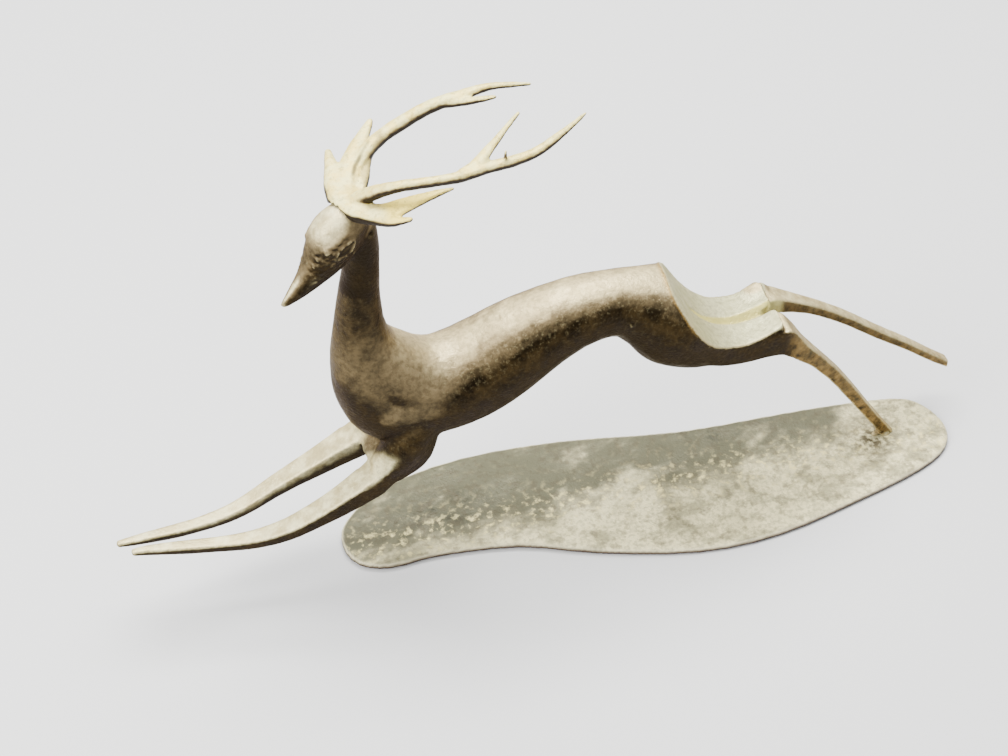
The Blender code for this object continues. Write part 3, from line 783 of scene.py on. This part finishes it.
def dressAntlers(item):
    s = antlerSettings
    places, normals = readMesh(item)
    places += normals * (wavyField(places, 4, 11) * s["unevenness"])[:, None]
    writeMesh(item, places)
    bend = edgeBend(item, places, normals)
    x, y, z = places.T
    # painted shade darkens the creases and sets the flange off from the far beam, and a painted shadow
    # follows the crown's underside at the joint with the head
    crease = fadeOut(nearLine(places, s["crease"]), 0.2, 0.8)
    joint = fadeOut(z, 124.8, 125.8) * fadeOut(normals[:, 2], 0.45, 0.78) * fadeOut(np.abs(y + 2), 7, 9)
    dirtAndShade = np.maximum(fadeOut(bend, -0.8, -0.25), s["creaseShade"] * crease)
    keepMask(item, "dirtAndShade", np.maximum(dirtAndShade, joint))
    edgeX = np.interp(z, *zip(*s["flangeEdge"]))
    flange = fadeIn(y, 1.5, 2.5) * fadeOut(y, 14, 15.5) * fadeIn(x - edgeX, 1.6, 2.2) * fadeOut(x, -66, -64)
    keepMask(item, "flange", flange)
    wedge = fadeOut(y, -5.6, -4.6) * fadeIn(x, -72.5, -70) * fadeOut(z, 127.6, 128.5)
    keepMask(item, "wedge", wedge * fadeIn(normals[:, 2], 0.3, 0.7))


antlerPair = pickUp("antlers", "antlerPair")
useModifier(antlerPair, 'REMESH', mode='VOXEL', voxel_size=antlerSettings["voxel"] * mm)
useModifier(antlerPair, 'SMOOTH', factor=0.5, iterations=4)
dressAntlers(antlerPair)
coat(antlerPair, makeAntlerBronze())
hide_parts("antlers")
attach(antlerPair, "root")
print("antlers dressed,", len(antlerPair.data.polygons), "faces")


plateSettings = {
    "voxel": 0.55,
    # height of the broad waves and of the hammered ones, and how far the top is let down for them
    "waves": 0.10,
    "ripples": 0.03,
    "letDown": 0.05,
    "khaki": (0.82, 0.74, 0.42),
    "green": (0.125, 0.12, 0.07),
    "dark": (0.035, 0.035, 0.022),
    "yellow": (0.98, 0.85, 0.38),
    "earth": (0.09, 0.072, 0.04),
    # edge: the brown of the plate's sides, darkened as painted shade
    "edge": (0.045, 0.018, 0.010),
    "polish": (0.92, 0.84, 0.56),
    "metallic": 0.2,
    "specular": 0.22,
    "roughness": (0.45, 0.62),
    "grain": (0.9, 0.06, 2.2, 0.07),
    # dark patches on the far half: x, y, radii and share
    "patches": [(-58, 5, 13, 8, 0.72), (32, 11, 22, 7, 0.66)],
    "hoof": (63, -7),
}


def makePlateBronze():
    s = plateSettings
    material, tree, shader = newMaterial("verdigrisBronze")
    cloud = noise(tree, 9, 0.36, 0.64, stretch=(0.6, 1, 1))
    share = calc(tree, 'ADD', mask(tree, "dim"), times(tree, cloud, 0.30))
    colour = blendColour(tree, ramp(tree, share, 0.10, 1.0), s["khaki"], s["green"])
    broken = ramp(tree, noise(tree, 7, 0.36, 0.62), 0.0, 1.0, 0.45, 1.0)
    colour = blendColour(tree, times(tree, mask(tree, "patch"), broken), colour, s["dark"])
    # four sizes of mottle: the cloud's size, limits and stretch, then the share and the tone
    mottles = (
        (4.2, 0.50, 0.66, (1, 1, 1), 0.34, "earth"),
        (5.5, 0.47, 0.64, (0.7, 1, 1), 0.55, "green"),
        (1.1, 0.45, 0.62, (1, 1, 1), 0.34, "green"),
        (2.4, 0.50, 0.64, (1, 1, 1), 0.42, "earth"),
    )
    for size, low, high, stretch, strength, tone in mottles:
        spots = noise(tree, size, low, high, stretch=stretch)
        colour = blendColour(tree, times(tree, spots, strength), colour, s[tone])
    crumbs = times(tree, mask(tree, "dust"), times(tree, noise(tree, 2.2, 0.51, 0.70), 0.8))
    colour = blendColour(tree, crumbs, colour, s["yellow"])
    # the sides, facing away from up, are painted dark: brown metal and painted shade
    colour = blendColour(tree, ramp(tree, facingUp(tree), 0.75, 0.35), colour, s["edge"])
    colour = blendColour(tree, mask(tree, "wear"), colour, s["polish"])
    rusty = times(tree, mask(tree, "rust"), noise(tree, 2.0, 0.4, 0.6))
    colour = blendColour(tree, rusty, colour, s["earth"])
    finishShader(tree, shader, s, colour, cloud)
    return material


def dressPlate(item):
    s = plateSettings
    places, normals = readMesh(item)
    top = fadeIn(places[:, 2], 1.3, 1.8) * fadeIn(normals[:, 2], 0.7, 0.95)
    bumps = wavyField(places, 22, 5) * s["waves"] + wavyField(places, 3.5, 6) * s["ripples"]
    places[:, 2] += bumps * top - s["letDown"] * top
    writeMesh(item, places)
    bend = edgeBend(item, places, normals)
    x, y, z = places.T
    keepMask(item, "wear", fadeIn(bend, 0.12, 0.4) * fadeIn(z, 1.0, 1.5) * 0.8)
    # pale crumbs lie in a band along the middle
    middle = blob((y + 5 + x * 0.06, 6.5)) * 0.95 + 0.05
    keepMask(item, "dust", middle * top)
    # the far half is dimmer, darkest in two patches
    dim = fadeIn(y, -11, 6) * fadeOut(x, 50, 72) * (1 - 0.25 * blob((x + 14, 13)))
    dim = dim * (1 + 0.3 * wavyField(places, 6, 9)) + 0.12 * wavyField(places, 12, 8)
    keepMask(item, "dim", dim * top)
    patch = sum(share * blob((x - px, long), (y - py, wide)) for px, py, long, wide, share in s["patches"])
    keepMask(item, "patch", patch * (1 + 0.6 * wavyField(places, 6, 10)) * top)
    hoofX, hoofY = s["hoof"]
    keepMask(item, "rust", blob((x - hoofX, 7.75), (y - hoofY, 7.75)) * top)


plateSheet = pickUp("base_plate", "plateSheet")
useModifier(plateSheet, 'REMESH', mode='VOXEL', voxel_size=plateSettings["voxel"] * mm)
useModifier(plateSheet, 'SMOOTH', factor=0.4, iterations=2)
dressPlate(plateSheet)
coat(plateSheet, makePlateBronze())
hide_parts("base_plate")
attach(plateSheet, "root")
print("plate dressed,", len(plateSheet.data.polygons), "faces")


# lengths in metres; each light is its name, place, aim, size and power
studioSettings = {
    "floor": (0.78, 0.78, 0.77),
    "floorSize": 6,
    "sky": (0.95, 0.97, 1.0),
    "skyStrength": 0.37,
    "lights": [
        ("overhead", (0.05, 0.22, 0.75), (0, 0, 0.03), (0.7, 0.5), 17.0),
        ("front", (-0.62, -0.12, 0.55), (-0.05, 0, 0.05), (0.5, 0.4), 9.0),
    ],
    "camera": (-0.15942, -0.35400, 0.45468),
    "cameraAim": (-0.0395, 0.0044, 0.0494),
    "lens": 78.57,
    "sensor": 36,
}


def makeFloor():
    s = studioSettings
    bpy.ops.object.select_all(action='DESELECT')
    bpy.ops.mesh.primitive_plane_add(size=s["floorSize"], location=(0, 0, 0))
    floor = bpy.context.active_object
    floor.name = "floor"
    material, _, shader = newMaterial("floorPaint")
    shader.inputs["Base Color"].default_value = (*s["floor"], 1)
    shader.inputs["Roughness"].default_value = 0.9
    floor.data.materials.append(material)


def aimAt(item, place, aim):
    item.location = place
    item.rotation_euler = (Vector(aim) - item.location).to_track_quat('-Z', 'Y').to_euler()


def addPanel(name, place, aim, size, power):
    light = bpy.data.lights.new(name, 'AREA')
    light.shape = 'RECTANGLE'
    light.size, light.size_y = size
    light.energy = power
    item = bpy.data.objects.new(name, light)
    bpy.context.scene.collection.objects.link(item)
    aimAt(item, place, aim)


def makeStudio():
    makeFloor()
    for panel in studioSettings["lights"]:
        addPanel(*panel)
    world = bpy.data.worlds.new("studio")
    bpy.context.scene.world = world
    world.use_nodes = True
    sky = world.node_tree.nodes["Background"]
    sky.inputs["Color"].default_value = (*studioSettings["sky"], 1)
    sky.inputs["Strength"].default_value = studioSettings["skyStrength"]


def makeCamera():
    s = studioSettings
    lens = bpy.data.cameras.new("camera")
    lens.sensor_width = s["sensor"]
    lens.lens = s["lens"]
    lens.clip_start = 0.01
    camera = bpy.data.objects.new("camera", lens)
    bpy.context.scene.collection.objects.link(camera)
    aimAt(camera, s["camera"], s["cameraAim"])
    bpy.context.scene.camera = camera


makeStudio()
makeCamera()
print("studio ready")
